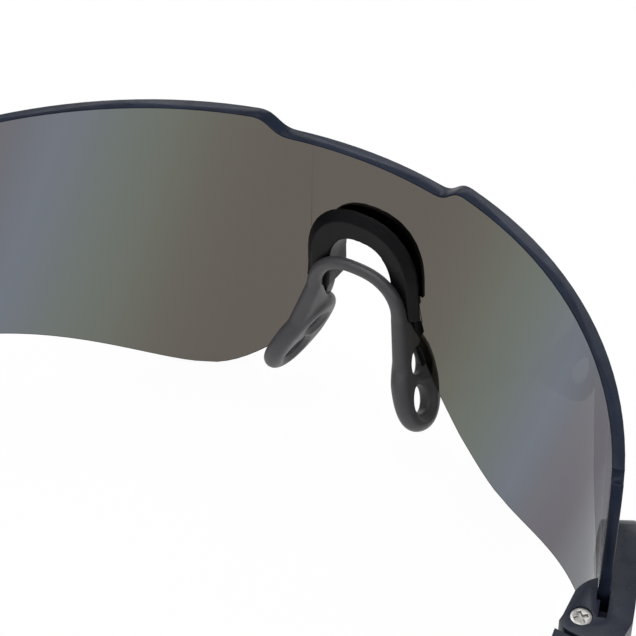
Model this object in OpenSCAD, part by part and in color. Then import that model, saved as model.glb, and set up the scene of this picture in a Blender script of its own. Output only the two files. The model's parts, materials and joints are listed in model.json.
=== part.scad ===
// Frameless safety glasses: a one-piece wraparound lens, a nose bracket clipped into its
// notch, a soft nose saddle, and two end pieces that carry folding temples.
// The front looks along -Y, up is +Z, and the wearer's right is -X.

/* [Lens] */
// Outer radius of the lens, which is part of an upright cylinder
lens_r = 64; // [60:0.5:70]
// Thickness of the lens over the nose
lens_t_mid = 2.3; // [1.8:0.1:3]
// How much thinner the lens is at its ends than over the nose
lens_taper = 0.9; // [0.3:0.1:1.1]
// Angle from the middle of the lens to each end
lens_half_angle = 69; // [66:0.5:72]
// Height of the straight top edge above the lowest point
lens_top_z = 52.4; // [49:0.2:56]
// How far the top edge steps down over the nose
brow_step = 2.7; // [1:0.1:4]
// Half width of the stepped-down length of the top edge
brow_half_w = 13.5; // [10:0.5:18]
// Run of each sloped step
brow_step_run = 3; // [1:0.1:4]
// Distance from the middle to the lowest point of each cheek
cheek_x = 28; // [25:0.5:31]
// Slope of the bottom edge between cheek and nose
cheek_in_slope = 1.3; // [0.9:0.05:1.6]
// Slope of the bottom edge between cheek and hinge
cheek_out_slope = 0.745; // [0.5:0.01:0.9]
// Length over which the bottom edge turns at the cheek
cheek_soft = 11; // [8:0.5:14]
// Radius of the small cord notch near each end of the top edge
cord_notch_r = 0.9; // [0.5:0.1:1.2]
// Corner radius at each end of the lens
lens_corner_r = 4; // [2:0.5:6]

/* [Nose notch and bracket] */
// Half width of the notch where its arch begins
notch_half_w = 8; // [7:0.25:9]
// Height at which the arch of the notch begins
notch_spring_z = 28; // [27:0.5:30]
// Rise of the arch above that height
notch_rise = 10; // [8:0.25:11]
// How fast the notch widens below the arch, in mm of half width per square mm of depth
notch_flare = 0.0195; // [0.015:0.0005:0.021]
// Thickness of the bracket wall that lines the notch
bracket_wall = 2.4; // [1.8:0.1:2.6]
// How far the rear flange laps over the lens
bracket_lap = 1.9; // [1.2:0.1:2.4]
// Thickness of the rear flange
bracket_flange_t = 1.6; // [1.4:0.1:2]
// Chamfer round the rear flange
bracket_chamfer = 1.2; // [0.3:0.1:1.3]
// How far the front lip laps over the lens
lip_lap = 0.9; // [0.5:0.1:1.4]
// Thickness of the front lip
lip_t = 0.9; // [0.6:0.1:1.4]
// Height at which the rear flange ends
flange_end_z = 24; // [22:0.5:26]
// Height of the lower ends of the two bracket tongues
tongue_end_z = 14.5; // [13.5:0.25:16]
// Thickness of each tongue
tongue_t = 1.5; // [1.2:0.1:1.6]

/* [Nose saddle] */
// Radius of the soft strand over the nose
strand_r = 1; // [0.8:0.05:1.2]
// Height of the strand's middle
strand_z = 31.2; // [30:0.2:32]
// Distance of the strand's middle behind the inner face of the lens
strand_back = 5.4; // [5.3:0.05:5.8]
// Half thickness of each pad
pad_r = 1.55; // [1.4:0.05:1.6]
// Width of each pad, front to back
pad_w = 12; // [10:0.2:12.4]
// Length of each pad
pad_len = 16.2; // [15:0.2:18]
// Distance from the middle to each pad's centre
pad_x = 10.6; // [10.2:0.1:11]
// Height of each pad's centre
pad_z = 13.6; // [13:0.1:14]
// Diameter of the upper pad hole
pad_hole_up_d = 3.4; // [2.4:0.1:4]
// Diameter of the lower pad hole
pad_hole_low_d = 4.4; // [3:0.1:4.8]

/* [Hinge and end pieces] */
// Distance of each hinge axis from the middle
hinge_x = 58.3; // [57.5:0.1:59]
// Distance of each hinge axis in front of the lens axis
hinge_y = 18.3; // [17.5:0.1:19]
// Height of the end pieces' top faces
end_top_z = 34; // [32:0.5:36]
// Height of the end pieces' bottom faces
end_low_z = 20.5; // [19:0.5:22]
// Thickness of the outer plate beside the lens
plate_t = 3.1; // [2.4:0.1:3.6]
// Angle of the outer plate's front tip
plate_tip_angle = 55.5; // [54:0.5:57]
// Radius of the hinge knuckle
knuckle_r = 2.8; // [2.6:0.1:3]
// Height of each of the two hinge leaves
leaf_h = 3.1; // [2.6:0.1:3.6]
// Diameter of the hinge screw's shank
screw_d = 1.6; // [1.4:0.1:1.8]
// Diameter of the hinge screw's head
screw_head_d = 2.7; // [2.4:0.1:3]
// Height of the hinge screw's head
screw_head_h = 0.9; // [0.6:0.1:1.2]
// Outer diameter of the threaded insert in the lower leaf
insert_d = 2.9; // [2.6:0.1:3.1]
// Thickness of each hinge washer
washer_t = 0.3; // [0.2:0.05:0.4]
// Outer diameter of each hinge washer
washer_d = 4.4; // [3.6:0.1:4.8]
// Angle of each lens screw from the middle of the lens
lens_screw_angle = 62.5; // [61:0.25:63.5]
// Height of each lens screw
lens_screw_z = 22.8; // [22:0.2:25]
// Diameter of each lens screw's shank
lens_screw_d = 2; // [1.6:0.1:2.4]
// Diameter of each lens screw's head
lens_screw_head_d = 4; // [3.4:0.1:4.6]
// Height of each lens screw's head
lens_screw_head_h = 0.9; // [0.6:0.1:1.2]

/* [Temples] */
// Distance from each hinge axis to the end of its temple grip
temple_len = 112.3; // [100:0.1:122]
// Height of the temple at its root
temple_root_h = 13; // [11:0.5:13.5]
// Height of the temple along its straight length
temple_h = 7; // [6:0.25:8.5]
// Thickness of the temple along its straight length
temple_t = 3.2; // [2.6:0.1:3.8]
// Distance behind the hinge where the temple reaches that thickness
temple_taper_y = 15; // [12:0.5:20]
// Distance behind the hinge where the temple starts to drop
bend_y = 66; // [60:1:72]
// Distance behind the hinge where the grip starts
grip_y = 76; // [72:1:82]
// Thickness of the grip outside the temple on every side
grip_wall = 1.1; // [0.9:0.1:1.6]
// Inward lean of the temple from root to tip
temple_lean = 2.2; // [0:0.1:4]

/* [Fits] */
// Gap between the lens and what clamps it
lens_gap = 0.1; // [0.05:0.01:0.15]
// Radial running clearance on the hinge screw
hinge_clear = 0.05; // [0.03:0.01:0.08]
// Gap between pieces that are plugged together
plug_gap = 0.1; // [0.05:0.01:0.15]
// Gap between the temple and the end piece
fold_gap = 0.3; // [0.25:0.05:0.4]

/* [Hidden] */
eps = 0.01;
over = 2;
round_fn = 64;
shell_fn = 256;
// Depth of the small flats on which the lens and the grips rest
rest_cut = 0.1;
// The lens axis stands so that the part's box is centred on the origin
overall_len = lens_r - hinge_y + temple_len;
axis_y = lens_r - overall_len / 2;
// Inner lens cylinder: its centre moves back so that the lens thins towards its ends
lens_centre_shift = lens_taper / (1 - cos(lens_half_angle));
lens_in_r = lens_r - lens_t_mid + lens_centre_shift;
plate_r = lens_r + lens_gap + plate_t;
tongue_r = knuckle_r - 0.45;
tongue_low_z = end_low_z + leaf_h + washer_t + fold_gap / 2;
tongue_top_z = end_top_z - leaf_h - washer_t - fold_gap / 2;
screw_top_z = end_top_z - 0.25;
lens_bush_d = lens_screw_d + 1;

module at_lens_axis() {
    translate([0, axis_y, 0]) children();
}

// Both sides are the same piece, mirrored
module on_left() {
    mirror([1, 0, 0]) children();
}

// A flat shape drawn in X and Z, carried along Y from y0 to y1
module front_extrude(y0, y1) {
    translate([0, y1, 0]) rotate([90, 0, 0]) linear_extrude(y1 - y0) children();
}

// A flat shape drawn in Y and Z, carried along X from x0 to x1
module side_extrude(x0, x1) {
    translate([x0, 0, 0]) rotate([90, 0, 90]) linear_extrude(x1 - x0) children();
}

module upright_cylinder(r, y = 0) {
    translate([0, y, -over]) cylinder(r = r, h = lens_top_z + 2 * over, $fn = shell_fn);
}

// Places things radially at an angle from the middle: local X points out, Z up
module at_angle(angle) {
    rotate([0, 0, -90 - angle]) children();
}

// Height of the bottom edge at a distance x from the middle
function soft_rise(d, slope, soft) = slope * soft * (sqrt(1 + pow(d / soft, 2)) - 1);
function bottom_z(x) = max(0, -rest_cut + (x > cheek_x
    ? soft_rise(x - cheek_x, cheek_out_slope, cheek_soft)
    : soft_rise(cheek_x - x, cheek_in_slope, cheek_soft * 0.9)));

function reversed(list) = [for (i = [len(list) - 1 : -1 : 0]) list[i]];
function spaced(from, to, steps) = [for (i = [0 : steps]) from + (to - from) * i / steps];

// Right half of the notch outline, grown by d, from its foot to its top
notch_foot_z = 4;
notch_steps = 14;
arch_steps = 12;
function notch_half(z, d) = notch_half_w + d + notch_flare * pow(max(0, notch_spring_z - z), 2);
function notch_side(d, z0) = [
    for (i = [0 : notch_steps])
        let (z = z0 + (notch_spring_z - z0) * i / notch_steps) [notch_half(z, d), z]
];
// Powers below 1 give the arch square shoulders
arch_power = 0.82;
function notch_arch(d) = [
    for (i = [1 : arch_steps - 1])
        let (a = 90 * i / arch_steps)
        [
            (notch_half_w + d) * pow(cos(a), arch_power),
            notch_spring_z + (notch_rise + d) * pow(sin(a), arch_power)
        ]
];
function notch_right(d, z0) = concat(notch_side(d, z0), notch_arch(d), [[0, notch_spring_z + notch_rise + d]]);
function mirrored(points) = [for (i = [len(points) - 1 : -1 : 0]) [-points[i][0], points[i][1]]];
module notch_shape(d, z0) {
    half = notch_right(d, z0);
    polygon(concat(half, mirrored([for (i = [0 : len(half) - 2]) half[i]])));
}

// A corner p between points a and b, rounded over a length on each side
corner_steps = 4;
function toward(p, a, length) = p + (a - p) * length / norm(a - p);
function soft_corner(a, p, b, length) = [
    for (i = [0 : corner_steps])
        let (t = i / corner_steps)
        pow(1 - t, 2) * toward(p, a, length) + 2 * t * (1 - t) * p + pow(t, 2) * toward(p, b, length)
];

brow_corner = 1.3;
outline_steps = 40;
outline_w = lens_r + over;
function bottom_points() = [
    for (i = [0 : outline_steps])
        let (x = outline_w * i / outline_steps) [x, bottom_z(x)]
];
module lens_outline() {
    end = [outline_w, lens_top_z];
    crest = [brow_half_w + brow_step_run, lens_top_z];
    foot = [brow_half_w, lens_top_z - brow_step];
    half = concat(
        bottom_points(),
        [end],
        soft_corner(end, crest, foot, brow_corner),
        soft_corner(crest, foot, [0, foot[1]], brow_corner)
    );
    polygon(concat(half, mirrored([for (p = half) if (p[0] > 0) p])));
}

module lens_shell(grow) {
    difference() {
        upright_cylinder(lens_r + grow);
        upright_cylinder(lens_in_r - grow, lens_centre_shift);
    }
}

// A block that keeps only what lies within the given angle of the middle, on the right
module beyond_angle(angle) {
    at_angle(angle) translate([0, -2 * lens_r, -2 * over])
        cube([2 * lens_r, 2 * lens_r, lens_top_z + 4 * over]);
}

// Cuts the lens end square and rounds its two corners. Each round stops a few degrees short,
// so that it crosses the next face at a clear angle
turn_stop = 6;
module lens_end_cut() {
    r = lens_corner_r;
    low = bottom_z(lens_r * sin(lens_half_angle)) - 1;
    turn = spaced(0, 90 - turn_stop, arch_steps);
    last = r - r * sin(turn_stop);
    at_angle(lens_half_angle) rotate([90, 0, 90]) linear_extrude(2 * lens_r) polygon(concat(
        [[-lens_r, -over], [last, -over]],
        [for (a = reversed(turn)) [r - r * cos(a), low + r - r * sin(a)]],
        [for (a = turn) [r - r * cos(a), lens_top_z - r + r * sin(a)]],
        [[last, lens_top_z + over], [-lens_r, lens_top_z + over]]
    ));
}

module lens_body() {
    difference() {
        intersection() {
            lens_shell(0);
            front_extrude(-lens_r - over, 0) lens_outline();
        }
        front_extrude(-lens_r - over, 0) notch_shape(0, -over);
        lens_end_cut();
        on_left() lens_end_cut();
        for (side = [0, 1]) mirror([side, 0, 0]) {
            at_angle(lens_screw_angle) translate([lens_r / 2, 0, lens_screw_z]) rotate([0, 90, 0])
                cylinder(d = lens_bush_d, h = lens_r, $fn = round_fn);
            at_angle(lens_half_angle - 2.5) translate([lens_r / 2, 0, lens_top_z]) rotate([0, 90, 0])
                cylinder(r = cord_notch_r, h = lens_r, $fn = round_fn);
        }
    }
}

module shield_lens() {
    color([0.30, 0.31, 0.32, 0.75]) at_lens_axis() lens_body();
}

// A wall that follows the lens: round the lens axis in front, parallel to the inner face behind
module wall_shell(front_r, back_r) {
    difference() {
        upright_cylinder(front_r);
        upright_cylinder(back_r, lens_centre_shift);
    }
}

// The strip between two outlines of the notch, from a height up
module notch_band(d_out, d_in, z0) {
    front_extrude(-lens_r - over, 0) difference() {
        notch_shape(d_out, z0);
        notch_shape(d_in, z0 - over);
    }
}

module height_band(z0, z1) {
    translate([-lens_r, -2 * lens_r, z0]) cube([2 * lens_r, 2 * lens_r, z1 - z0]);
}

// Two tongues run down from the bracket. Each ends in a thinner plug inside a pad's boot
flange_back_r = lens_in_r - lens_gap - bracket_flange_t;
tongue_back_r = lens_in_r - 0.4;
tongue_front_r = lens_r - 0.3;
tongue_inset = 0.3;
plug_top_z = 17.6;
plug_inset = 0.8;
plug_t = 1.2;
module bracket_tongues(grow) {
    intersection() {
        wall_shell(tongue_front_r + grow, tongue_back_r - grow);
        notch_band(-tongue_inset + grow, -tongue_inset - tongue_t - grow, plug_top_z - grow);
        height_band(plug_top_z - grow, flange_end_z + eps + grow);
    }
}
module tongue_plugs(grow) {
    intersection() {
        wall_shell(tongue_front_r - 0.8 + grow, tongue_back_r + 0.3 - grow);
        notch_band(-plug_inset + grow, -plug_inset - plug_t - grow, tongue_end_z - grow);
        height_band(tongue_end_z - grow, plug_top_z + 0.5);
    }
}

// The rear flange, in layers that step back to round its outer edge
bracket_in = -lens_gap - bracket_wall;
chamfer_steps = 4;
module rear_flange() {
    step = bracket_chamfer / chamfer_steps;
    for (i = [0 : chamfer_steps]) intersection() {
        difference() {
            upright_cylinder(
                i == 0 ? lens_in_r - lens_gap : flange_back_r + bracket_chamfer - step * (i - 1) + eps,
                lens_centre_shift
            );
            upright_cylinder(flange_back_r + bracket_chamfer - step * i, lens_centre_shift);
        }
        notch_band(bracket_lap - step * i, bracket_in + eps, flange_end_z);
    }
}

module nose_bracket() {
    lip_r = lens_r + lens_gap + lip_t;
    color([0.05, 0.05, 0.06]) at_lens_axis() {
        intersection() {
            wall_shell(lip_r, flange_back_r);
            notch_band(-lens_gap, bracket_in, flange_end_z);
        }
        rear_flange();
        intersection() {
            difference() {
                upright_cylinder(lip_r);
                upright_cylinder(lens_r + lens_gap);
            }
            notch_band(lip_lap, bracket_in + eps, flange_end_z + over);
        }
        bracket_tongues(0);
        tongue_plugs(0);
    }
}

// Each pad has its own axes: down its length, back across its width, and in through its
// thickness towards the nose
pad_down = [0.400, 0.456, -0.794];
pad_in = [-0.914, 0.145, -0.378];
pad_back = cross(pad_down, pad_in);
strand_y = strand_back - lens_in_r;
pad_centre = [pad_x, strand_y + 0.1, pad_z];
pad_half_w = pad_w / 2 - pad_r;
pad_half_len = pad_len / 2 - pad_r;
// A point of a pad, in shares of its half width and half length, at a depth towards the nose
function pad_point(back, down, deep = 0) =
    pad_centre + pad_back * pad_half_w * back + pad_down * pad_half_len * down + pad_in * deep;
soft_fn = 18;
module ball(p, r) {
    translate(p) sphere(r = r, $fn = soft_fn);
}
// A pad is a rounded oblong that narrows towards its upper end
pad_narrow = 0.35;
function full(share) = sign(share) * pow(abs(share), 0.75);
module pad_body() {
    hull() for (a = [0 : 30 : 330])
        ball(pad_point(full(cos(a)) * (1 - pad_narrow * max(0, -sin(a))), full(sin(a))), pad_r);
}
// The boot is the socket in which the bracket's plug sits
boot_r = 1.3;
module pad_boot() {
    hull() for (z = [tongue_end_z - 0.4, plug_top_z - 0.2], y = [1.3, 2])
        ball([notch_half(z, -boot_r - 0.3), y - lens_in_r, z], boot_r);
}
// A soft dish round each hole, on the pad's outer and on its inner face
dish_r = 3.4;
outer_dish = 1.3;
inner_dish = 1;
module pad_dishes(down) {
    for (deep = [outer_dish - pad_r - dish_r, pad_r + dish_r - inner_dish])
        translate(pad_point(0, down, deep)) sphere(r = dish_r, $fn = 36);
}
module pad_hole(down, d) {
    turn = atan2(pad_in[1], pad_in[0]);
    tilt = acos(pad_in[2] / norm(pad_in));
    translate(pad_point(0, down)) rotate([0, tilt, turn])
        cylinder(d = d, h = 4 * pad_r, center = true, $fn = 32);
}
hole_up = -0.39;
hole_low = 0.47;
// The strand rises from a pad's upper end, passes behind the bracket and crosses the nose
leg_x = 7.6;
leg_top_z = flange_end_z + 0.6;
strand_steps = 8;
function strand_point(a) =
    [leg_x * pow(cos(a), 0.8), strand_y - 0.3 * sin(a), between(leg_top_z, strand_z, sin(a))];
function strand_round(a) = strand_r + 0.25 * (1 - sin(a));
module strand_half() {
    turns = spaced(0, 90, strand_steps);
    for (i = [1 : strand_steps]) hull() for (a = [turns[i - 1], turns[i]])
        ball(strand_point(a), strand_round(a));
}
module pad_leg() {
    hull() {
        ball(pad_point(-0.1, -0.8), pad_r - 0.1);
        ball(pad_point(0.85, -0.2), pad_r - 0.1);
        ball(strand_point(0), strand_round(0));
    }
}
module saddle_half() {
    difference() {
        union() {
            difference() {
                union() {
                    pad_body();
                    pad_leg();
                }
                pad_dishes(hole_up);
                pad_dishes(hole_low);
            }
            pad_boot();
            strand_half();
        }
        pad_hole(hole_up, pad_hole_up_d);
        pad_hole(hole_low, pad_hole_low_d);
    }
}
module nose_saddle() {
    color([0.33, 0.33, 0.34]) at_lens_axis() difference() {
        union() {
            saddle_half();
            on_left() saddle_half();
        }
        tongue_plugs(plug_gap);
        bracket_tongues(plug_gap);
    }
}

// End piece: an inner block and an outer plate with a slot between them for the lens
block_nose_r = 4.85;
block_nose = [-hinge_x - 2.55, -hinge_y - 2.7];
block_in_x = -hinge_x + 1.9;
block_out_x = -sqrt(plate_r * plate_r - pow(block_nose[1] + 0.5, 2));
slot_end_angle = lens_half_angle + 1;
slot_show_angle = slot_end_angle + 2.3;
slot_show_depth = 2.2;
plate_mid_angle = 60;
// Angle at which the inner block's outline runs into the plate's core
block_join_angle = 66.4;
module plan_extrude(z0, z1) {
    translate([0, 0, z0]) linear_extrude(z1 - z0) children();
}
module at_hinge(z) {
    translate([-hinge_x, -hinge_y, z]) children();
}
plate_core_r = lens_r - 0.8;
plate_front_angle = plate_tip_angle - 1;
function arc(centre, r, from, to) =
    [for (a = spaced(from, to, 2 * arch_steps)) centre + r * [cos(a), sin(a)]];
function lens_arc(r, from, to) =
    [for (a = spaced(from, to, 2 * arch_steps)) r * [-sin(a), -cos(a)]];
// One outline for the inner block and the plate, which the lens slot then parts
module end_plan() {
    axis = [-hinge_x, -hinge_y];
    polygon(concat(
        [[block_out_x, -hinge_y + knuckle_r]],
        arc(axis, knuckle_r, 90, acos((block_in_x + hinge_x) / knuckle_r)),
        [[block_in_x, -hinge_y + 1]],
        arc(block_nose, block_nose_r, 0, -55),
        lens_arc(plate_core_r, block_join_angle, plate_front_angle),
        lens_arc(plate_r, plate_front_angle, asin(-block_out_x / plate_r))
    ));
}
// Cuts the plate's front end, which falls from the top in a quarter ellipse
tip_y = plate_r * sin(plate_mid_angle - plate_tip_angle);
tip_fall = 4.7;
tip_corner = 2;
module tip_cut() {
    fall_h = end_top_z - end_low_z - tip_corner;
    fall_y = tip_y - tip_fall * (1 - sin(turn_stop));
    corner_y = tip_y - tip_corner * (1 - sin(turn_stop));
    at_angle(plate_mid_angle) rotate([90, 0, 90]) linear_extrude(2 * lens_r) polygon(concat(
        [[fall_y, end_top_z + over]],
        [
            for (a = spaced(turn_stop, 90, arch_steps))
                [tip_y - tip_fall * (1 - sin(a)), end_low_z + tip_corner + fall_h * cos(a)]
        ],
        [
            for (a = spaced(turn_stop, 90 - turn_stop, arch_steps))
                [tip_y - tip_corner * (1 - cos(a)), end_low_z + tip_corner * (1 - sin(a))]
        ],
        [[corner_y, end_low_z - over], [lens_r, end_low_z - over], [lens_r, end_top_z + over]]
    ));
}
module lens_slot() {
    difference() {
        lens_shell(lens_gap);
        beyond_angle(slot_end_angle);
    }
    difference() {
        upright_cylinder(lens_r + lens_gap);
        upright_cylinder(lens_r - 1);
        beyond_angle(slot_show_angle);
        height_band(-2 * over, end_top_z - slot_show_depth);
    }
}
fork_low_z = end_low_z + leaf_h;
fork_top_z = end_top_z - leaf_h;
fork_r = tongue_r + fold_gap;
module fork_cut() {
    reach = 5 * fork_r;
    plan_extrude(fork_low_z, fork_top_z) translate([-hinge_x, -hinge_y]) polygon(concat(
        [[reach, reach], [-fork_r, reach]],
        arc([0, 0], fork_r, 180, 270),
        [[reach, -fork_r]]
    ));
}
module end_piece() {
    color([0.06, 0.07, 0.09]) at_lens_axis() difference() {
        plan_extrude(end_low_z, end_top_z) end_plan();
        tip_cut();
        lens_slot();
        fork_cut();
        at_hinge(end_low_z - over) cylinder(d = insert_d, h = leaf_h + 2 * over, $fn = round_fn);
        at_hinge(fork_top_z - over)
            cylinder(d = screw_d + 2 * hinge_clear, h = leaf_h + 2 * over, $fn = round_fn);
        at_hinge(screw_top_z - screw_head_h - hinge_clear)
            cylinder(d = screw_head_d + 2 * hinge_clear, h = screw_head_h + over, $fn = round_fn);
        at_lens_screw(lens_r) cylinder(d = lens_screw_d, h = plate_t - 0.8, $fn = round_fn);
    }
}

// Local Z points out along a lens screw, starting at a distance from the lens axis
module at_lens_screw(r) {
    at_angle(lens_screw_angle) translate([0, 0, lens_screw_z]) rotate([0, 90, 0])
        translate([0, 0, r]) children();
}
module cross_recess(d, depth) {
    slot_w = 0.17 * d;
    for (a = [45, 135]) rotate([0, 0, a])
        translate([-0.32 * d, -slot_w / 2, -over]) cube([0.64 * d, slot_w, over + depth]);
}
// Distance from the lens axis to where a flat head meets the inner face beside its screw
lens_seat_r = lens_in_r - lens_centre_shift * cos(lens_screw_angle) - 0.05;
module lens_screw() {
    end_r = plate_r - 0.95;
    color([0.75, 0.76, 0.78]) at_lens_axis() at_lens_screw(lens_seat_r - lens_screw_head_h)
        difference() {
            union() {
                cylinder(d = lens_screw_head_d, h = lens_screw_head_h, $fn = round_fn);
                cylinder(
                    d = lens_screw_d, h = end_r - lens_seat_r + lens_screw_head_h, $fn = round_fn
                );
            }
            cross_recess(lens_screw_head_d, 0.5);
        }
}
module tube(outer_d, inner_d, h) {
    difference() {
        cylinder(d = outer_d, h = h, $fn = round_fn);
        translate([0, 0, -over]) cylinder(d = inner_d, h = h + 2 * over, $fn = round_fn);
    }
}
module lens_bush() {
    color([0.10, 0.10, 0.11]) at_lens_axis() at_lens_screw(lens_seat_r + 0.02)
        tube(lens_bush_d - 0.1, lens_screw_d + 2 * hinge_clear, lens_r - lens_seat_r - 0.02);
}
module hinge_screw() {
    bottom_z = end_low_z + 0.3;
    color([0.80, 0.81, 0.83]) at_lens_axis() difference() {
        union() {
            at_hinge(bottom_z) cylinder(d = screw_d, h = screw_top_z - bottom_z, $fn = round_fn);
            at_hinge(screw_top_z - screw_head_h)
                cylinder(d = screw_head_d, h = screw_head_h, $fn = round_fn);
        }
        at_hinge(screw_top_z) mirror([0, 0, 1]) cross_recess(screw_head_d, 0.45);
    }
}
module hinge_insert() {
    color([0.72, 0.58, 0.30]) at_lens_axis() at_hinge(end_low_z + 0.1)
        tube(insert_d, screw_d, leaf_h - 0.15);
}
module hinge_washer(z) {
    color([0.78, 0.79, 0.80]) at_lens_axis() at_hinge(z)
        tube(washer_d, screw_d + 2 * hinge_clear, washer_t);
}
module washer_low() {
    hinge_washer(fork_low_z + 0.01);
}
module washer_top() {
    hinge_washer(fork_top_z - 0.01 - washer_t);
}

// Temple, as seen from above and from the side. Distances run back from the hinge axis
root_y = knuckle_r + fold_gap;
root_out = plate_r - 3 - hinge_x;
root_in = block_in_x + hinge_x + 0.1;
root_run = 40;
root_mid_z = (end_low_z + end_top_z) / 2;
temple_mid_z = root_mid_z + 0.7;
temple_steps = 24;
grip_end_r = temple_h / 2 + 0.5;
tip_z = grip_end_r - rest_cut;
drop_end_y = temple_len - grip_end_r;
tail_end_y = drop_end_y - 4;
function held(t) = max(0, min(1, t));
function ease(t) = t * t * (3 - 2 * t);
function between(a, b, t) = a + (b - a) * t;
function out_x(y) = -root_out + temple_lean * y / temple_len;
function in_x(y) =
    between(root_in, out_x(temple_taper_y) + temple_t,
        ease(held((y - root_y) / (temple_taper_y - root_y))))
    + temple_lean * max(0, y - temple_taper_y) / temple_len;
function root_ease(y) = ease(held((y - root_y) / root_run));
function mid_z(y) =
    between(root_mid_z, temple_mid_z, root_ease(y))
    - (temple_mid_z - tip_z) * pow(held((y - bend_y) / (drop_end_y - bend_y)), 1.6);
function half_h(y) = between(temple_root_h / 2, temple_h / 2, root_ease(y));
function mid_slope(y) = (mid_z(y + 0.1) - mid_z(y - 0.1)) / 0.2;
// A point of the side view, at a height h square to the temple's middle line
function side_point(y, h) =
    let (s = y < bend_y ? 0 : mid_slope(min(y, drop_end_y)), n = sqrt(1 + s * s))
    [y - h * s / n, mid_z(y) + h / n];

// A bar along the temple from y0 to y1, grown by side in thickness and by tall in height
module temple_bar(y0, y1, side, tall, round_end = false) {
    ys = spaced(y0, y1, temple_steps);
    back = reversed(ys);
    plan = spaced(y0 - 2 * over, y1 + 4 * over, temple_steps);
    intersection() {
        plan_extrude(0, lens_top_z) translate([-hinge_x, -hinge_y]) polygon(concat(
            [for (y = plan) [out_x(y) - side, y]],
            [for (y = reversed(plan)) [in_x(y) + side, y]]
        ));
        side_extrude(-2 * plate_r, 0) translate([-hinge_y, 0]) {
            polygon(concat(
                [for (y = ys) side_point(y, -half_h(y) - tall)],
                [for (y = back) side_point(y, half_h(y) + tall)]
            ));
            if (round_end) translate([y1, mid_z(y1)]) circle(r = half_h(y1) + tall, $fn = round_fn);
        }
    }
}
module hinge_tongue() {
    h = tongue_top_z - tongue_low_z;
    at_hinge(tongue_low_z) {
        cylinder(r = tongue_r, h = h, $fn = round_fn);
        translate([-tongue_r, 0, 0]) cube([tongue_r + root_in - 0.4, root_y + 1, h]);
    }
}
module temple_arm() {
    color([0.08, 0.09, 0.12]) at_lens_axis() difference() {
        union() {
            hinge_tongue();
            temple_bar(root_y, grip_y, 0, 0);
            temple_bar(grip_y - eps, tail_end_y, -grip_wall, -grip_wall);
        }
        at_hinge(tongue_low_z - over) cylinder(
            d = screw_d + 2 * hinge_clear, h = tongue_top_z - tongue_low_z + 2 * over, $fn = round_fn
        );
    }
}
module temple_grip() {
    color([0.16, 0.16, 0.17]) at_lens_axis() difference() {
        temple_bar(grip_y + plug_gap, drop_end_y, 0.2, 0.5, round_end = true);
        temple_bar(
            grip_y - over, tail_end_y + plug_gap, plug_gap - grip_wall, plug_gap - grip_wall
        );
    }
}

shield_lens();
nose_bracket();
nose_saddle();
end_piece();  // end_piece_right
on_left() end_piece();  // end_piece_left
lens_screw();  // lens_screw_right
on_left() lens_screw();  // lens_screw_left
lens_bush();  // lens_bush_right
on_left() lens_bush();  // lens_bush_left
hinge_screw();  // hinge_screw_right
on_left() hinge_screw();  // hinge_screw_left
hinge_insert();  // hinge_insert_right
on_left() hinge_insert();  // hinge_insert_left
washer_top();  // washer_top_right
on_left() washer_top();  // washer_top_left
washer_low();  // washer_low_right
on_left() washer_low();  // washer_low_left
temple_arm();  // temple_arm_right
on_left() temple_arm();  // temple_arm_left
temple_grip();  // temple_grip_right
on_left() temple_grip();  // temple_grip_left
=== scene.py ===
"""Frameless safety glasses: finishes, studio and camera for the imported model."""

import json
import math

import bmesh
import bpy
from mathutils import Matrix, Vector
from mathutils.bvhtree import BVHTree

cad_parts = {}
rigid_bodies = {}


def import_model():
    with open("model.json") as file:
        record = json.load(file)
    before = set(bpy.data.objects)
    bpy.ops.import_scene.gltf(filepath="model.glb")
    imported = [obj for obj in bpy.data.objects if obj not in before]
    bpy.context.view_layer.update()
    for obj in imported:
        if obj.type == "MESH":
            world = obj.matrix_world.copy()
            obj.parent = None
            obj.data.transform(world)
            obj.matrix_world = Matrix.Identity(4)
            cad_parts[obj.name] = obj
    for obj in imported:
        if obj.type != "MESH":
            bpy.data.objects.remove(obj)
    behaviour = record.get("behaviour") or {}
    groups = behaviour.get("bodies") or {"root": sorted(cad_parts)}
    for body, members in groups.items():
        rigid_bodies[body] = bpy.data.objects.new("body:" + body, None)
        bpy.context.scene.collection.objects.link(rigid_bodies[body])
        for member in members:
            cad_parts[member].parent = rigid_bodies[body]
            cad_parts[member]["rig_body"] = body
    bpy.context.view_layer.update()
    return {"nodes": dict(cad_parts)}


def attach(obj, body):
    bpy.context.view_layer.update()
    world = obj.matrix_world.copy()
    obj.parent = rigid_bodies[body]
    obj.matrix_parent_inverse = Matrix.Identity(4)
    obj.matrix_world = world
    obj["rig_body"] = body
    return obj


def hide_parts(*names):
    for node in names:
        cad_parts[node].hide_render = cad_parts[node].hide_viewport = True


# Blender's unit is the metre, and every size of a shape here is written in millimetres
MM = 0.001

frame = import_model()
nodes = frame["nodes"]


def both(name):
    """The names of a node's right and left copies."""
    return [f"{name}_right", f"{name}_left"]


# Shader nodes
NOISE_ROUGHNESS = 0.55


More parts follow.
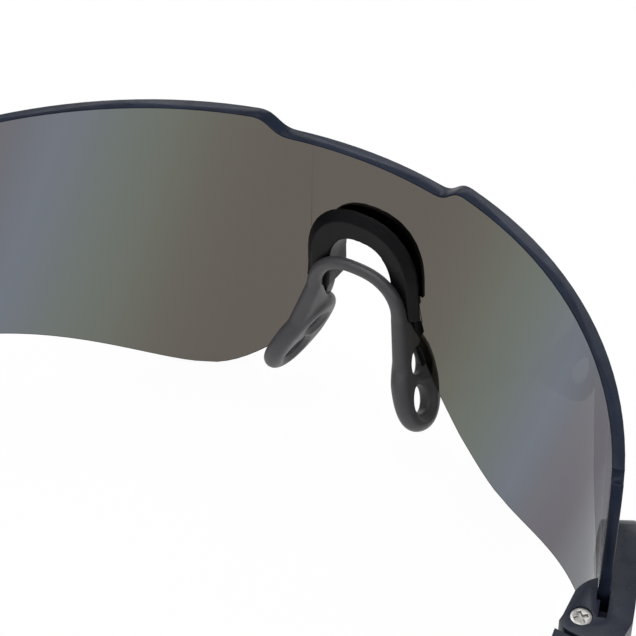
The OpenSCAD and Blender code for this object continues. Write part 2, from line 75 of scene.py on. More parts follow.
class Shader:
    """A material's or a group's node tree, with short calls to fill it."""

    def __init__(self, tree):
        self.tree = tree

    def add(self, kind, **settings):
        """A new node with its settings."""
        node = self.tree.nodes.new(kind)
        for name, value in settings.items():
            setattr(node, name, value)
        return node

    def link(self, source, target):
        self.tree.links.new(source, target)

    def feed(self, socket, value):
        """Links a socket to another node's output, or gives it a plain value."""
        if isinstance(value, bpy.types.NodeSocket):
            self.link(value, socket)
        else:
            socket.default_value = value

    def math(self, operation, a, b=0.0, clamp=False):
        node = self.add("ShaderNodeMath", operation=operation, use_clamp=clamp)
        self.feed(node.inputs[0], a)
        self.feed(node.inputs[1], b)
        return node.outputs[0]

    def noise(self, vector, scale, detail):
        """Noise at a scale per metre."""
        node = self.add("ShaderNodeTexNoise")
        self.link(vector, node.inputs["Vector"])
        self.feed(node.inputs["Scale"], scale)
        node.inputs["Detail"].default_value = detail
        node.inputs["Roughness"].default_value = NOISE_ROUGHNESS
        return node.outputs["Fac"]

    def remap(self, value, low, high, to_low=0.0, to_high=1.0):
        """A value between low and high, stretched to between to_low and to_high."""
        node = self.add("ShaderNodeMapRange")
        for name, number in (
            ("Value", value),
            ("From Min", low),
            ("From Max", high),
            ("To Min", to_low),
            ("To Max", to_high),
        ):
            self.feed(node.inputs[name], number)
        return node.outputs["Result"]


def new_group(name, inputs, outputs):
    """A shader node group with (name, socket type, default) inputs and (name, type) outputs."""
    tree = bpy.data.node_groups.new(name, "ShaderNodeTree")
    for label, kind, default in inputs:
        socket = tree.interface.new_socket(label, in_out="INPUT", socket_type=kind)
        socket.default_value = default
    for label, kind in outputs:
        tree.interface.new_socket(label, in_out="OUTPUT", socket_type=kind)
    shader = Shader(tree)
    return shader, shader.add("NodeGroupInput").outputs, shader.add("NodeGroupOutput").inputs


# The moulded skin's noise scales are per metre, and the noise mostly stays between low and high
NOISE_LOW = 0.3
NOISE_HIGH = 0.7
CLOUD_SCALE = 160.0
WEAR_SCALE = 420.0
WEAR_REACH = 0.06
GRAIN_DEPTH = 0.04


def moulded_skin_group():
    """Fine moulded texture: a mottled colour, an uneven roughness and a grain normal."""
    shader, given, out = new_group(
        "moulded_skin",
        [
            ("Colour", "NodeSocketColor", (0.02, 0.02, 0.02, 1)),
            ("Mottle", "NodeSocketFloat", 0.15),
            ("Roughness", "NodeSocketFloat", 0.4),
            ("Grain Scale", "NodeSocketFloat", 9000.0),
            ("Grain Height", "NodeSocketFloat", 0.15),
        ],
        [
            ("Colour", "NodeSocketColor"),
            ("Roughness", "NodeSocketFloat"),
            ("Normal", "NodeSocketVector"),
        ],
    )
    place = shader.add("ShaderNodeTexCoord").outputs["Object"]
    cloud = shader.noise(place, CLOUD_SCALE, 4.0)
    wear = shader.noise(place, WEAR_SCALE, 3.0)
    grain = shader.noise(place, given["Grain Scale"], 2.0)
    low = shader.math("SUBTRACT", 1.0, given["Mottle"])
    high = shader.math("ADD", 1.0, given["Mottle"])
    shade = shader.remap(cloud, NOISE_LOW, NOISE_HIGH, low, high)
    tinted = shader.add("ShaderNodeVectorMath", operation="SCALE")
    shader.link(given["Colour"], tinted.inputs[0])
    shader.link(shade, tinted.inputs["Scale"])
    shader.link(tinted.outputs[0], out["Colour"])
    uneven = shader.remap(wear, NOISE_LOW, NOISE_HIGH, -WEAR_REACH, WEAR_REACH)
    roughness = shader.math("ADD", given["Roughness"], uneven, clamp=True)
    shader.link(roughness, out["Roughness"])
    bump = shader.add("ShaderNodeBump")
    bump.inputs["Distance"].default_value = GRAIN_DEPTH * MM
    shader.link(given["Grain Height"], bump.inputs["Strength"])
    shader.link(grain, bump.inputs["Height"])
    shader.link(bump.outputs["Normal"], out["Normal"])
    return shader.tree


def new_material(name):
    """A material with a bare Principled surface: (material, shader, principled node)."""
    material = bpy.data.materials.new(name)
    material.use_nodes = True
    material.node_tree.nodes.clear()
    shader = Shader(material.node_tree)
    surface = shader.add("ShaderNodeBsdfPrincipled")
    output = shader.add("ShaderNodeOutputMaterial")
    shader.link(surface.outputs["BSDF"], output.inputs["Surface"])
    return material, shader, surface


skin_group = moulded_skin_group()


def skinned(name, colour, roughness, mottle, grain, height, specular=0.5):
    """A material whose surface has the moulded skin's colour, roughness and grain."""
    material, shader, surface = new_material(name)
    skin = shader.add("ShaderNodeGroup", node_tree=skin_group)
    skin.inputs["Colour"].default_value = (*colour, 1)
    skin.inputs["Mottle"].default_value = mottle
    skin.inputs["Roughness"].default_value = roughness
    skin.inputs["Grain Scale"].default_value = grain
    skin.inputs["Grain Height"].default_value = height
    shader.link(skin.outputs["Colour"], surface.inputs["Base Color"])
    shader.link(skin.outputs["Roughness"], surface.inputs["Roughness"])
    shader.link(skin.outputs["Normal"], surface.inputs["Normal"])
    surface.inputs["Specular IOR Level"].default_value = specular
    return material, surface


def moulded(name, colour, roughness, mottle=0.15, grain=9000.0, height=0.15, specular=0.5):
    """A moulded plastic or rubber finish."""
    material, _ = skinned(name, colour, roughness, mottle, grain, height, specular)
    return material


def turned_metal(name, colour, roughness):
    """Bright metal with a very fine grain."""
    material, surface = skinned(name, colour, roughness, mottle=0.06, grain=14000.0, height=0.03)
    surface.inputs["Metallic"].default_value = 1.0
    return material


# The lens's smoke tint and a painted coating sheen, by distance in mm from a leaning line near the
# lens's middle
LENS_TINTS_AND_SHEEN = {
    12: (0.125, 0.112, 0.098),
    22: (0.135, 0.128, 0.108),
    29: (0.148, 0.158, 0.135),
    36: (0.155, 0.175, 0.165),
    43: (0.165, 0.182, 0.215),
    49: (0.155, 0.153, 0.170),
    54: (0.142, 0.132, 0.150),
    58: (0.165, 0.167, 0.183),
}
TINT_AND_SHEEN_REACH = 60
TINT_AND_SHEEN_MIDDLE = 3
TINT_AND_SHEEN_MIDDLE_HEIGHT = 40
TINT_AND_SHEEN_LEAN = 0.3


def tint_and_painted_sheen_group():
    """A smoke tint whose colour drifts from the middle of the lens to its ends; the drift is a
    painted coating sheen.
    """
    shader, given, out = new_group(
        "tint_and_painted_sheen",
        [("Strength", "NodeSocketFloat", 1.0)],
        [("Colour", "NodeSocketColor")],
    )
    place = shader.add("ShaderNodeTexCoord").outputs["Object"]
    split = shader.add("ShaderNodeSeparateXYZ")
    shader.link(place, split.inputs[0])
    above = shader.math("SUBTRACT", split.outputs["Z"], TINT_AND_SHEEN_MIDDLE_HEIGHT * MM)
    beside = shader.math("SUBTRACT", split.outputs["X"], TINT_AND_SHEEN_MIDDLE * MM)
    across = shader.math("ADD", beside, shader.math("MULTIPLY", above, TINT_AND_SHEEN_LEAN))
    away = shader.math("ABSOLUTE", across)
    ramp = shader.add("ShaderNodeValToRGB")
    shader.link(shader.remap(away, 0.0, TINT_AND_SHEEN_REACH * MM), ramp.inputs["Fac"])
    band = ramp.color_ramp
    while len(band.elements) < len(LENS_TINTS_AND_SHEEN):
        band.elements.new(0.5)
    for element, (distance, colour) in zip(band.elements, LENS_TINTS_AND_SHEEN.items()):
        element.position = distance / TINT_AND_SHEEN_REACH
        element.color = (*colour, 1)
    scaled = shader.add("ShaderNodeVectorMath", operation="SCALE")
    shader.link(ramp.outputs["Color"], scaled.inputs[0])
    shader.link(given["Strength"], scaled.inputs["Scale"])
    shader.link(scaled.outputs[0], out["Colour"])
    return shader.tree


# The lens's low IOR is that of a face treated against reflections
LENS_IOR = 1.03
COAT_IOR = 1.45
COAT_ROUGHNESS = 0.04
HAZE_SCALE = 60.0
HAZE_NOISE_LOW = 0.35
HAZE_NOISE_HIGH = 0.75
HAZE_MOST = 0.03


def tinted_lens(name, coat):
    """Smoke-tinted polycarbonate, with a gloss coat that shows from the front only."""
    material, shader, surface = new_material(name)
    # The base colour is the smoke tint plus a painted sheen that stands in for the coating's
    # reflected colour
    tint = shader.add("ShaderNodeGroup", node_tree=tint_and_sheen_group)
    shader.link(tint.outputs["Colour"], surface.inputs["Base Color"])
    place = shader.add("ShaderNodeTexCoord").outputs["Object"]
    cloud = shader.noise(place, HAZE_SCALE, 4.0)
    haze = shader.remap(cloud, HAZE_NOISE_LOW, HAZE_NOISE_HIGH, 0.0, HAZE_MOST)
    shader.link(haze, surface.inputs["Roughness"])
    surface.inputs["Transmission Weight"].default_value = 1.0
    surface.inputs["IOR"].default_value = LENS_IOR
    behind = shader.add("ShaderNodeNewGeometry").outputs["Backfacing"]
    front = shader.math("SUBTRACT", 1.0, behind)
    shader.link(shader.math("MULTIPLY", front, coat), surface.inputs["Coat Weight"])
    surface.inputs["Coat Roughness"].default_value = COAT_ROUGHNESS
    surface.inputs["Coat IOR"].default_value = COAT_IOR
    return material


def lens_edge():
    """The lens's cut edge, where the smoke tint looks almost black."""
    colour = (0.011, 0.015, 0.027)
    return moulded("smoke_edge", colour, 0.3, mottle=0.3, grain=3500.0, height=0.12, specular=0.06)


# Copies of the CAD nodes, and the modifiers that finish them
SAME_POINT = 0.0001
SLIVER = 0.002
OPEN_SLIT = 0.001
# Faces that differ by less than the flat angle, in degrees, are joined, and edges over the sharp
# angle are rounded
FLAT_ANGLE = 1.0
SHARP_ANGLE = 34.0


def paint(obj, material):
    obj.data.materials.clear()
    obj.data.materials.append(material)


def new_piece(name, mesh, material):
    obj = bpy.data.objects.new(name, mesh)
    bpy.context.scene.collection.objects.link(obj)
    paint(obj, material)
    return obj


def bare_copy(name, material):
    """A merged copy of a CAD node."""
    mesh = nodes[name].data.copy()
    shape = bmesh.new()
    shape.from_mesh(mesh)
    bmesh.ops.remove_doubles(shape, verts=shape.verts, dist=SAME_POINT * MM)
    bmesh.ops.dissolve_degenerate(shape, edges=shape.edges, dist=SLIVER * MM)
    shape.to_mesh(mesh)
    shape.free()
    mesh.shade_smooth()
    return new_piece(f"{name}_skin", mesh, material)


def apply_modifiers(obj):
    """Swaps an object's mesh for the one its modifiers make."""
    view = bpy.context.evaluated_depsgraph_get()
    mesh = bpy.data.meshes.new_from_object(obj.evaluated_get(view))
    obj.modifiers.clear()
    obj.data = mesh


def stand_for(obj, name):
    """Fixes a finished copy to its node's body and puts it in the node's place."""
    apply_modifiers(obj)
    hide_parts(name)
    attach(obj, nodes[name]["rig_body"])


def merge_flats(obj):
    """Joins triangles that lie in one plane."""
    shape = bmesh.new()
    shape.from_mesh(obj.data)
    flat = math.radians(FLAT_ANGLE)
    bmesh.ops.dissolve_limit(shape, angle_limit=flat, verts=shape.verts, edges=shape.edges)
    shape.to_mesh(obj.data)
    shape.free()
    obj.data.shade_smooth()


def add_round_edges(obj, width, segments, clamp):
    """Rounds the sharp edges, and closes the slits that this can leave."""
    bevel = obj.modifiers.new("rounded_edges", "BEVEL")
    bevel.width = width * MM
    bevel.segments = segments
    bevel.limit_method = "ANGLE"
    bevel.angle_limit = math.radians(SHARP_ANGLE)
    bevel.harden_normals = True
    bevel.use_clamp_overlap = clamp
    weld = obj.modifiers.new("closed_slits", "WELD")
    weld.merge_threshold = OPEN_SLIT * MM


def crisp_piece(name, width, material, segments=3, clamp=True):
    """A hard piece with small round edges."""
    obj = bare_copy(name, material)
    merge_flats(obj)
    add_round_edges(obj, width, segments, clamp)
    stand_for(obj, name)
    return obj


def add_even_skin(obj, cell, rounds):
    """Makes a piece one closed skin of even cells, with its corners softened in rounds."""
    remesh = obj.modifiers.new("even_skin", "REMESH")
    remesh.mode = "VOXEL"
    remesh.voxel_size = cell * MM
    remesh.use_smooth_shade = True
    relax = obj.modifiers.new("soft_corners", "SMOOTH")
    relax.factor = 0.5
    relax.iterations = rounds


def add_swell(obj, distance):
    """Moves a piece's whole skin outwards, or inwards where the distance is below zero."""
    swell = obj.modifiers.new("swell", "DISPLACE")
    swell.mid_level = 0.0
    swell.strength = distance * MM


# The lens is two cylinders. The inner one is set back, so that the lens thins towards its ends
LENS_RADIUS = 64.0
LENS_MIDDLE = 2.3
LENS_TAPER = 0.9
LENS_HALF_ANGLE = 69.0
LENS_EDGE_ROUND = 0.2
STRAY_DISTANCE = 0.1
OUTER_FINISH, INNER_FINISH, EDGE_FINISH = range(3)
# How squarely a face of a wall, or one of the rounds next to it, looks away from the wall's axis
WALL_FACING = 0.97
ROUND_FACING = 0.7
# How far a corner of such a face may lie off the wall
WALL_MISS = 0.1
ROUND_MISS = 0.03
# How far a face of the underside looks down at least, and to the front or rear at most
UNDERSIDE_DOWN = 0.3
UNDERSIDE_ASIDE = 0.05
# How far a face of the round below the outer wall looks down, and away from the wall's axis
LOWER_ROUND_DOWN = 0.1
LOWER_ROUND_OUT = 0.2


def pull_back_strays(mesh, solid):
    """Moves the few points that a bevel threw off the solid back onto it."""
    surface = BVHTree.FromPolygons(
        [vertex.co for vertex in solid.vertices],
        [tuple(polygon.vertices) for polygon in solid.polygons],
    )
    for vertex in mesh.vertices:
        place, _, _, distance = surface.find_nearest(vertex.co)
        if distance > STRAY_DISTANCE * MM:
            vertex.co = place


def lens_walls(axis_y):
    """Each wall of the lens: its axis's y, its radius, its facing side and its finish."""
    shift = LENS_TAPER * MM / (1 - math.cos(math.radians(LENS_HALF_ANGLE)))
    inner_radius = (LENS_RADIUS - LENS_MIDDLE) * MM + shift
    return [
        (axis_y, LENS_RADIUS * MM, 1, OUTER_FINISH),
        (axis_y + shift, inner_radius, -1, INNER_FINISH),
    ]


def on_underside(polygon, axis_y):
    """Tells whether a face is on the lens's underside or on the outer round next to it."""
    away = Vector((polygon.center.x, polygon.center.y - axis_y, 0)).normalized()
    down = -polygon.normal.z
    lower_face = down > UNDERSIDE_DOWN and abs(polygon.normal.y) < UNDERSIDE_ASIDE
    lower_round = down > LOWER_ROUND_DOWN and polygon.normal.dot(away) > LOWER_ROUND_OUT
    return lower_face or lower_round


def build_lens(outer_finish, inner_finish, edge_finish):
    """The lens, shaded as two true cylinders. Its underside is clear and its other edges dark."""
    obj = crisp_piece("shield_lens", LENS_EDGE_ROUND, outer_finish, segments=2, clamp=False)
    mesh = obj.data
    pull_back_strays(mesh, nodes["shield_lens"].data)
    mesh.materials.append(inner_finish)
    mesh.materials.append(edge_finish)
    axis_y = min(v.co.y for v in mesh.vertices) + LENS_RADIUS * MM
    walls = lens_walls(axis_y)
    normals = [tuple(corner.vector) for corner in mesh.corner_normals]
    for polygon in mesh.polygons:
        finish = OUTER_FINISH if on_underside(polygon, axis_y) else EDGE_FINISH
        for centre_y, radius, side, wall_finish in walls:
            for loop in polygon.loop_indices:
                place = mesh.vertices[mesh.loops[loop].vertex_index].co
                out = Vector((place.x, place.y - centre_y, 0))
                facing = polygon.normal.dot(out.normalized()) * side
                miss = WALL_MISS if facing > WALL_FACING else ROUND_MISS
                if facing < ROUND_FACING or abs(out.length - radius) > miss * MM:
                    continue
                normals[loop] = tuple(out.normalized() * side)
                if facing > WALL_FACING:
                    finish = wall_finish
        polygon.material_index = finish
    mesh.normals_split_custom_set(normals)


# The nose bracket, softened from its solid
BRACKET_CELL = 0.13


def build_bracket(material):
    """The moulded nose bracket, whose corners all flow into each other."""
    bracket = bare_copy("nose_bracket", material)
    add_even_skin(bracket, BRACKET_CELL, rounds=12)
    stand_for(bracket, "nose_bracket")


# The saddle has the sizes of its solid, but finer curves and a little larger holes and dishes
PAD_MIDDLE = Vector((10.6, -73.6, 13.6))
PAD_DOWN = Vector((0.400, 0.456, -0.794)).normalized()
PAD_IN = Vector((-0.914, 0.145, -0.378)).normalized()
PAD_BACK = PAD_DOWN.cross(PAD_IN)
PAD_ROUND = 1.55
PAD_HALF_WIDTH = 4.45
PAD_HALF_LENGTH = 6.55
PAD_NARROWING = 0.35
PAD_CORNER_POWER = 0.85
# Each hole: its place down the pad's half length, its radius and its dish's radius
PAD_HOLES = ((-0.39, 1.8, 4.2), (0.47, 2.3, 5.0))
OUTER_DISH = 1.45
INNER_DISH = 1.2
# The two places on the pad that the leg from the strand grows out of
LEG_PLACES = ((-0.1, -0.8), (0.85, -0.2))
LEG_SLIMMING = 0.1
# The lens's notch is narrowest at its straight height and flares below it
NOTCH_HALF_WIDTH = 8
NOTCH_FLARE = 0.0195
NOTCH_STRAIGHT_HEIGHT = 28
BOOT_GAP = 0.3
BOOT_HEIGHTS = (14.1, 17.4)
BOOT_DEPTHS = (-77.8, -77.1)
BOOT_ROUND = 1.3
STRAND_Y = -73.7
STRAND_FOOT = (7.6, 24.6)
STRAND_TOP = 31.2
STRAND_TOP_LEAN = 0.3
STRAND_POWER = 0.8
STRAND_ROUND = 1.0
STRAND_FOOT_SWELL = 0.25
# How finely the strand, the pads' rims in degrees, the balls, the dishes and the holes are made
STRAND_STEPS = 24
RIM_STEP = 6
BALL_SUBDIVISIONS = 3
DISH_SUBDIVISIONS = 4
HOLE_SIDES = 48
# The sizes of the cells that the saddle's skin is made of
SADDLE_CELL = 0.17
SADDLE_FINE_CELL = 0.13
CUTTER_CELL = 0.12
FILLET = 0.9


def pad_point(back, down, deep=0.0):
    """A point of the left pad, in shares of its half width and half length."""
    across = PAD_BACK * PAD_HALF_WIDTH * back
    return PAD_MIDDLE + across + PAD_DOWN * PAD_HALF_LENGTH * down + PAD_IN * deep


def pad_rim(turn):
    """A point of the rounded oblong that the pad's rim follows."""
    back = math.copysign(abs(math.cos(turn)) ** PAD_CORNER_POWER, math.cos(turn))
    down = math.copysign(abs(math.sin(turn)) ** PAD_CORNER_POWER, math.sin(turn))
    return pad_point(back * (1 - PAD_NARROWING * max(0.0, -down)), down)


def strand_ball(turn):
    """The strand's middle and radius, from its foot at 0 to its top over the nose."""
    rise = math.sin(turn)
    place = Vector((
        STRAND_FOOT[0] * max(0.0, math.cos(turn)) ** STRAND_POWER,
        STRAND_Y - STRAND_TOP_LEAN * rise,
        STRAND_FOOT[1] + (STRAND_TOP - STRAND_FOOT[1]) * rise,
    ))
    return place, STRAND_ROUND + STRAND_FOOT_SWELL * (1 - rise)


def boot_ball(height, depth):
    """A ball of the socket that holds the bracket's tongue."""
    notch = NOTCH_HALF_WIDTH + NOTCH_FLARE * (NOTCH_STRAIGHT_HEIGHT - height) ** 2
    return Vector((notch - BOOT_ROUND - BOOT_GAP, depth, height)), BOOT_ROUND


def saddle_hulls():
    """Groups of balls. The saddle's left half is the tight skin round each group."""
    rim = [(pad_rim(math.radians(turn)), PAD_ROUND) for turn in range(0, 360, RIM_STEP)]
    leg = [(pad_point(back, down), PAD_ROUND - LEG_SLIMMING) for back, down in LEG_PLACES]
    leg.append(strand_ball(0.0))
    boot = [boot_ball(z, y) for z in BOOT_HEIGHTS for y in BOOT_DEPTHS]
    turns = [math.radians(90) * step / STRAND_STEPS for step in range(STRAND_STEPS + 1)]
    strand = [[strand_ball(a), strand_ball(b)] for a, b in zip(turns, turns[1:])]
    return [rim, leg, boot, *strand]


def tight_skin(balls, unit_ball):
    """Corners and faces of the tight skin round a group of balls."""
    shape = bmesh.new()
    for place, radius in balls:
        for point in unit_ball:
            shape.verts.new((place + point * radius) * MM)
    bmesh.ops.convex_hull(shape, input=shape.verts[:])
    for vert in [vert for vert in shape.verts if not vert.link_faces]:
        shape.verts.remove(vert)
    bmesh.ops.recalc_face_normals(shape, faces=shape.faces)
    shape.verts.index_update()
    corners = [vert.co.copy() for vert in shape.verts]
    faces = [[vert.index for vert in face.verts] for face in shape.faces]
    shape.free()
    return corners, faces


def both_sides(hulls):
    """All the skins and their mirror images in one mesh's corners and faces."""
    ball = bmesh.new()
    bmesh.ops.create_icosphere(ball, subdivisions=BALL_SUBDIVISIONS, radius=1.0)
    unit_ball = [vert.co.copy() for vert in ball.verts]
    ball.free()
    corners = []
    faces = []
    for balls in hulls:
        points, skins = tight_skin(balls, unit_ball)
        start = len(corners)
        corners += points
        faces += [[start + index for index in skin] for skin in skins]
        start = len(corners)
        corners += [Vector((-point.x, point.y, point.z)) for point in points]
        faces += [[start + index for index in reversed(skin)] for skin in skins]
    return corners, faces


def hole_cutter(material):
    """Dishes and holes of both pads, as one shape to cut with."""
    shape = bmesh.new()
    for down, hole_radius, dish_radius in PAD_HOLES:
        outside = OUTER_DISH - PAD_ROUND - dish_radius
        inside = PAD_ROUND + dish_radius - INNER_DISH
        for side in (1, -1):
            for deep in (outside, inside):
                place = pad_point(0, down, deep)
                place.x *= side
                bmesh.ops.create_icosphere(
                    shape,
                    subdivisions=DISH_SUBDIVISIONS,
                    radius=dish_radius * MM,
                    matrix=Matrix.Translation(place * MM),
                )
            place = pad_point(0, down)
            place.x *= side
            axis = Vector((PAD_IN.x * side, PAD_IN.y, PAD_IN.z))
            turn = axis.to_track_quat("Z", "Y").to_matrix().to_4x4()
            bmesh.ops.create_cone(
                shape,
                cap_ends=True,
                segments=HOLE_SIDES,
                radius1=hole_radius * MM,
                radius2=hole_radius * MM,
                depth=4 * PAD_ROUND * MM,
                matrix=Matrix.Translation(place * MM) @ turn,
            )
    mesh = bpy.data.meshes.new("hole_cutter")
    shape.to_mesh(mesh)
    shape.free()
    return new_piece("hole_cutter", mesh, material)


def build_saddle(material):
    """The soft nose saddle: swelled and shrunk for its fillets, then holed and softened."""
    mesh = bpy.data.meshes.new("nose_saddle_skin")
    corners, faces = both_sides(saddle_hulls())
    mesh.from_pydata(corners, [], faces)
    saddle = new_piece("nose_saddle_skin", mesh, material)
    add_even_skin(saddle, SADDLE_CELL, rounds=4)
    add_swell(saddle, FILLET)
    add_even_skin(saddle, SADDLE_CELL, rounds=8)
    add_swell(saddle, -FILLET)
    add_even_skin(saddle, SADDLE_CELL, rounds=2)
    apply_modifiers(saddle)
    cutter = hole_cutter(material)
    add_even_skin(cutter, CUTTER_CELL, rounds=1)
    apply_modifiers(cutter)
    cut = saddle.modifiers.new("holes", "BOOLEAN")
    cut.operation = "DIFFERENCE"
    cut.object = cutter
    cut.solver = "MANIFOLD"
    add_even_skin(saddle, SADDLE_FINE_CELL, rounds=8)
    stand_for(saddle, "nose_saddle")
    bpy.data.objects.remove(cutter)


# The soft ribs on the inner face of each temple grip
RIB_COUNT = 9
RIB_LENGTH = 5.4
RIB_WIDTH = 1.7
RIB_HEIGHT = 1.3
# How far the first and the last rib stand from the grip's front and rear end
RIBS_FROM_FRONT = 6
RIBS_FROM_REAR = 8
RIB_SEGMENTS = 24
RIB_RINGS = 16


def rib_tree(material):
    """Geometry nodes that put one rib on each point, turned to the point's lean."""
    tree = bpy.data.node_groups.new("grip_ribs", "GeometryNodeTree")
    tree.interface.new_socket("Geometry", in_out="INPUT", socket_type="NodeSocketGeometry")
    for label, size in (
        ("Rib Length", RIB_LENGTH),
        ("Rib Width", RIB_WIDTH),
        ("Rib Height", RIB_HEIGHT),
    ):
        socket = tree.interface.new_socket(label, in_out="INPUT", socket_type="NodeSocketFloat")
        socket.default_value = size * MM
    tree.interface.new_socket("Geometry", in_out="OUTPUT", socket_type="NodeSocketGeometry")
    nodes_of = Shader(tree)
    given = nodes_of.add("NodeGroupInput").outputs
    size = nodes_of.add("ShaderNodeCombineXYZ")
    nodes_of.link(given["Rib Height"], size.inputs["X"])
    nodes_of.link(given["Rib Width"], size.inputs["Y"])
    nodes_of.link(given["Rib Length"], size.inputs["Z"])
    # The ball is one unit across, so that the rib's sizes are its scale
    ball = nodes_of.add("GeometryNodeMeshUVSphere")
    ball.inputs["Segments"].default_value = RIB_SEGMENTS
    ball.inputs["Rings"].default_value = RIB_RINGS
    ball.inputs["Radius"].default_value = 0.5
    lean = nodes_of.add("GeometryNodeInputNamedAttribute", data_type="FLOAT")
    lean.inputs["Name"].default_value = "lean"
    turn = nodes_of.add("ShaderNodeCombineXYZ")
    nodes_of.link(lean.outputs["Attribute"], turn.inputs["X"])
    points = nodes_of.add("GeometryNodeMeshToPoints")
    nodes_of.link(given["Geometry"], points.inputs["Mesh"])
    placed = nodes_of.add("GeometryNodeInstanceOnPoints")
    nodes_of.link(points.outputs[0], placed.inputs["Points"])
    nodes_of.link(ball.outputs["Mesh"], placed.inputs["Instance"])
    nodes_of.link(turn.outputs[0], placed.inputs["Rotation"])
    nodes_of.link(size.outputs[0], placed.inputs["Scale"])
    real = nodes_of.add("GeometryNodeRealizeInstances")
    nodes_of.link(placed.outputs[0], real.inputs[0])
    smooth = nodes_of.add("GeometryNodeSetShadeSmooth")
    nodes_of.link(real.outputs[0], smooth.inputs[0])
    painted = nodes_of.add("GeometryNodeSetMaterial")
    painted.inputs["Material"].default_value = material
    nodes_of.link(smooth.outputs[0], painted.inputs[0])
    nodes_of.link(painted.outputs[0], nodes_of.add("NodeGroupOutput").inputs[0])
    return tree


def rib_places(grip):
    """Evenly spaced points on a grip's inner face, each with the grip's lean there."""
    corners = [Vector(v.co) for v in grip.data.vertices]
    low = Vector([min(c[axis] for c in corners) for axis in range(3)])
    high = Vector([max(c[axis] for c in corners) for axis in range(3)])
    middle_x = (low.x + high.x) / 2
    surface = BVHTree.FromPolygons(
        corners, [tuple(polygon.vertices) for polygon in grip.data.polygons]
    )

    def middle_z(y):
        top = surface.ray_cast(Vector((middle_x, y, 1)), Vector((0, 0, -1)))[0]
        bottom = surface.ray_cast(Vector((middle_x, y, -1)), Vector((0, 0, 1)))[0]
        return (top.z + bottom.z) / 2

    outward = math.copysign(1, middle_x)
    start = low.y + RIBS_FROM_FRONT * MM
    end = high.y - RIBS_FROM_REAR * MM
    places = []
    for index in range(RIB_COUNT):
        y = start + (end - start) * index / (RIB_COUNT - 1)
        z = middle_z(y)
        side = surface.ray_cast(Vector((0, y, z)), Vector((outward, 0, 0)))[0]
        slope = (middle_z(y + MM) - middle_z(y - MM)) / (2 * MM)
        places.append((side, math.atan(slope)))
    return places


def add_grip_ribs(side, tree):
    """The ribs of one temple grip, as a piece of its own on the temple's body."""
    grip = nodes[f"temple_grip_{side}"]
    places = rib_places(grip)
    mesh = bpy.data.meshes.new(f"grip_ribs_{side}")
    mesh.from_pydata([place for place, _ in places], [], [])
    lean = mesh.attributes.new("lean", "FLOAT", "POINT")
    lean.data.foreach_set("value", [angle for _, angle in places])
    ribs = bpy.data.objects.new(f"grip_ribs_{side}", mesh)
    bpy.context.scene.collection.objects.link(ribs)
    ribs.modifiers.new("ribs", "NODES").node_group = tree
    apply_modifiers(ribs)
    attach(ribs, grip["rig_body"])


# The studio is a pale floor, a white surround and soft lamps, with its places in metres
FLOOR_COLOUR = (0.8, 0.8, 0.8, 1)
FLOOR_SHARE = 0.04
FLOOR_HALF_WIDTH = 3.0
FLOOR_HEIGHT = -0.0002
WORLD_STRENGTH = 0.55
WORLD_STRENGTH_SEEN = 1.0
LAMP_TARGET = (0, -0.03, 0.03)


def pale_floor():
    """White to the camera and in reflections, apart from a small share that takes shadows."""
    material = bpy.data.materials.new("pale_floor")
    material.use_nodes = True
    tree = material.node_tree
    tree.nodes.clear()
    shader = Shader(tree)
    pale = shader.add("ShaderNodeBsdfDiffuse")
    pale.inputs["Color"].default_value = FLOOR_COLOUR
    white = shader.add("ShaderNodeEmission")
    white.inputs["Strength"].default_value = 1.0
    paths = shader.add("ShaderNodeLightPath").outputs
    seen = shader.math("MAXIMUM", paths["Is Camera Ray"], paths["Is Glossy Ray"])
    seen = shader.math("MAXIMUM", seen, paths["Is Transmission Ray"])
    share = shader.math("MULTIPLY", seen, 1.0 - FLOOR_SHARE)
    mixed = shader.add("ShaderNodeMixShader")
    shader.link(share, mixed.inputs[0])
    shader.link(pale.outputs[0], mixed.inputs[1])
    shader.link(white.outputs[0], mixed.inputs[2])
    output = shader.add("ShaderNodeOutputMaterial")
    shader.link(mixed.outputs[0], output.inputs["Surface"])
    return material


def add_floor():
    mesh = bpy.data.meshes.new("floor")
    half = FLOOR_HALF_WIDTH
    corners = [(-half, -half, 0), (half, -half, 0), (half, half, 0), (-half, half, 0)]
    mesh.from_pydata(corners, [], [(0, 1, 2, 3)])
    floor = new_piece("floor", mesh, pale_floor())
    floor.location.z = FLOOR_HEIGHT


def add_world():
    world = bpy.data.worlds.new("studio")
    bpy.context.scene.world = world
    world.use_nodes = True
    tree = world.node_tree
    tree.nodes.clear()
    shader = Shader(tree)
    paths = shader.add("ShaderNodeLightPath").outputs
    seen = shader.math("MAXIMUM", paths["Is Camera Ray"], paths["Is Transmission Ray"])
    strength = shader.remap(seen, 0.0, 1.0, WORLD_STRENGTH, WORLD_STRENGTH_SEEN)
    ground = shader.add("ShaderNodeBackground")
    ground.inputs["Color"].default_value = (1, 1, 1, 1)
    shader.link(strength, ground.inputs["Strength"])
    output = shader.add("ShaderNodeOutputWorld")
    shader.link(ground.outputs[0], output.inputs["Surface"])


def add_lamp(name, place, size, power):
    """A soft oblong lamp that looks at the front of the part."""
    data = bpy.data.lights.new(name, "AREA")
    data.shape = "RECTANGLE"
    data.size, data.size_y = size
    data.energy = power
    lamp = bpy.data.objects.new(name, data)
    bpy.context.scene.collection.objects.link(lamp)
    lamp.location = place
    aim = Vector(LAMP_TARGET) - Vector(place)
    lamp.rotation_euler = aim.to_track_quat("-Z", "Y").to_euler()


def add_lamps():
    add_lamp("top_softbox", (0.05, -0.1, 0.9), (0.9, 0.7), 6.0)
    add_lamp("side_softbox", (-0.8, 0.1, 0.45), (0.5, 0.5), 3.0)
    add_lamp("front_softbox", (0.5, -0.8, 0.5), (0.7, 0.4), 3.0)


# The camera stands behind the part, above it and to its right. Its turn is yaw, pitch and roll
CAMERA_PLACE = (-106.99 * MM, 85.69 * MM, 204.07 * MM)
CAMERA_TURN = (35.63, 43.56, 2.76)
CAMERA_FOCAL = 98.32
CAMERA_SENSOR = 36.0
CAMERA_CLIP = 5 * MM


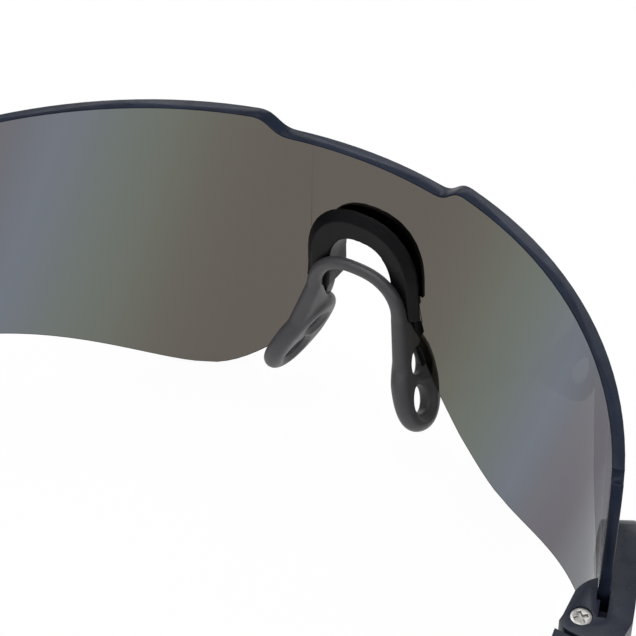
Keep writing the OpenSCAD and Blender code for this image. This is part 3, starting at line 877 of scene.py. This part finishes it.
def add_camera():
    yaw, pitch, roll = (math.radians(angle) for angle in CAMERA_TURN)
    level = math.cos(pitch)
    ahead = Vector((math.sin(yaw) * level, -math.cos(yaw) * level, -math.sin(pitch)))
    right = ahead.cross(Vector((0, 0, 1))).normalized()
    up = right.cross(ahead)
    tilted_right = math.cos(roll) * right - math.sin(roll) * up
    tilted_up = math.sin(roll) * right + math.cos(roll) * up
    turn = Matrix((tilted_right, tilted_up, -ahead)).transposed()
    data = bpy.data.cameras.new("photo_camera")
    data.lens = CAMERA_FOCAL
    data.sensor_width = CAMERA_SENSOR
    data.clip_start = CAMERA_CLIP
    camera = bpy.data.objects.new("photo_camera", data)
    bpy.context.scene.collection.objects.link(camera)
    camera.matrix_world = Matrix.Translation(Vector(CAMERA_PLACE)) @ turn.to_4x4()
    bpy.context.scene.camera = camera


# The finishes
tint_and_sheen_group = tint_and_painted_sheen_group()
nylon = moulded("black_nylon", (0.0025, 0.0026, 0.0035), 0.4, grain=7000.0, specular=0.14)
dark_plastic = moulded(
    "blue_black_plastic", (0.011, 0.014, 0.024), 0.3, grain=5000.0, specular=0.26
)
rubber = moulded("grey_rubber", (0.050, 0.049, 0.053), 0.45, mottle=0.08, grain=12000.0)
grip_rubber = moulded("grip_rubber", (0.022, 0.022, 0.024), 0.6, grain=10000.0)
screw_steel = turned_metal("screw_steel", (0.42, 0.41, 0.40), 0.42)
brass = turned_metal("brass", (0.66, 0.5, 0.24), 0.3)

# The pieces, with the widths of their edge rounds
END_PIECE_ROUND = 0.35
ARM_ROUND = 0.7
GRIP_ROUND = 0.8
SCREW_ROUND = 0.08

build_lens(
    tinted_lens("glossy_outer_face", 0.8),
    tinted_lens("treated_inner_face", 0.0),
    lens_edge(),
)
build_bracket(nylon)
build_saddle(rubber)
for name in both("end_piece"):
    crisp_piece(name, END_PIECE_ROUND, dark_plastic)
for name in both("temple_arm"):
    crisp_piece(name, ARM_ROUND, dark_plastic)
for name in both("temple_grip"):
    crisp_piece(name, GRIP_ROUND, grip_rubber)
rib_nodes = rib_tree(grip_rubber)
for side in ("right", "left"):
    add_grip_ribs(side, rib_nodes)
for name in both("hinge_screw") + both("lens_screw"):
    crisp_piece(name, SCREW_ROUND, screw_steel)
for name in both("washer_top") + both("washer_low"):
    paint(nodes[name], screw_steel)
for name in both("hinge_insert"):
    paint(nodes[name], brass)
for name in both("lens_bush"):
    paint(nodes[name], nylon)

# The scene round them
bpy.context.scene.view_settings.view_transform = "Standard"
add_floor()
add_world()
add_lamps()
add_camera()
